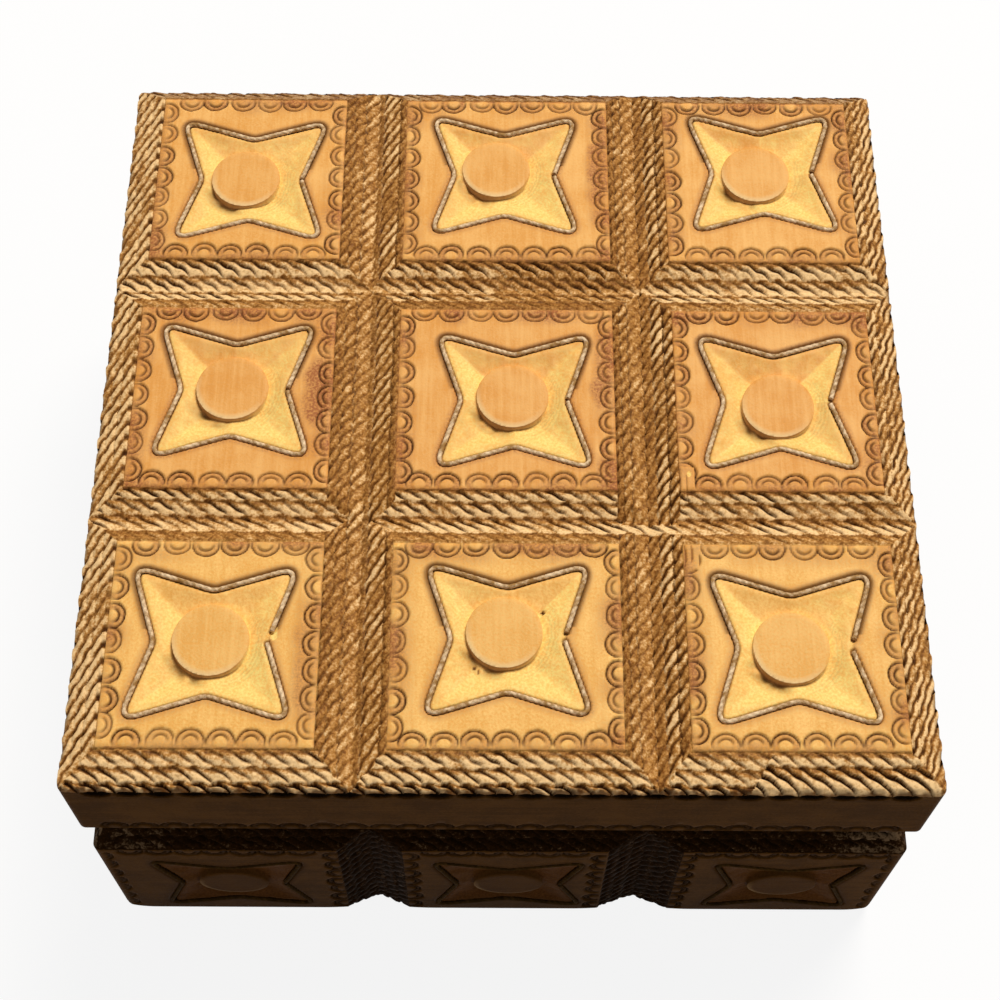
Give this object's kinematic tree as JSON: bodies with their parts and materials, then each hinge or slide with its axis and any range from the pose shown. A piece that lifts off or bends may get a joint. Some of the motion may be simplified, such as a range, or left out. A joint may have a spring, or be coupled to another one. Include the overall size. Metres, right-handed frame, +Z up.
{
  "type": "carved wooden box",
  "caption": "Square hinged trinket box of carved wood: tiles with carved stars and inlaid twisted wire, punched rope borders in V channels, grooved seam.",
  "frame": {"origin": "middle of the box's footprint, on the surface it stands on", "axes": "+Z up, +X to the right seen from the front, -Y towards the viewer of the front, hinges at the back (+Y)"},
  "size_m": [0.1276, 0.1276, 0.0635],
  "materials": {
    "carved_top": "stained and waxed hardwood, carved through to pale wood",
    "band_wood": "stained and waxed hardwood, plain band",
    "carved_wall": "stained and waxed hardwood, carved",
    "plain_board": "plain sanded hardwood",
    "inlay_wire": "twisted wire, dull with age",
    "hinge_brass": "aged brass"
  },
  "bodies": {
    "body": {"wall_front": "carved_wall", "wall_right": "carved_wall", "wall_back": "carved_wall", "wall_left": "carved_wall", "bottom_board": "plain_board", "wire_front_left": "inlay_wire", "wire_front_middle": "inlay_wire", "wire_front_right": "inlay_wire", "wire_right_left": "inlay_wire", "wire_right_middle": "inlay_wire", "wire_right_right": "inlay_wire", "wire_back_left": "inlay_wire", "wire_back_middle": "inlay_wire", "wire_back_right": "inlay_wire", "wire_left_left": "inlay_wire", "wire_left_middle": "inlay_wire", "wire_left_right": "inlay_wire", "hinge_left_body_leaf": "hinge_brass", "hinge_left_pin": "hinge_brass", "hinge_right_body_leaf": "hinge_brass", "hinge_right_pin": "hinge_brass", "body_hinge_screws": "hinge_brass"},
    "lid": {"lid_top_board": "carved_top", "lid_rim_front": "band_wood", "lid_rim_right": "band_wood", "lid_rim_back": "band_wood", "lid_rim_left": "band_wood", "lid_wire_front_left": "inlay_wire", "lid_wire_front_middle": "inlay_wire", "lid_wire_front_right": "inlay_wire", "lid_wire_middle_left": "inlay_wire", "lid_wire_middle_middle": "inlay_wire", "lid_wire_middle_right": "inlay_wire", "lid_wire_back_left": "inlay_wire", "lid_wire_back_middle": "inlay_wire", "lid_wire_back_right": "inlay_wire", "hinge_left_lid_leaf": "hinge_brass", "hinge_right_lid_leaf": "hinge_brass", "lid_hinge_screws": "hinge_brass"}
  },
  "joints": [
    {"name": "lid_hinge", "type": "hinge", "parent": "body", "child": "lid", "pos_m": [0, 0.0624, 0.0388], "axis": [-1, 0, 0], "range_deg": [0, 130]}
  ]
}
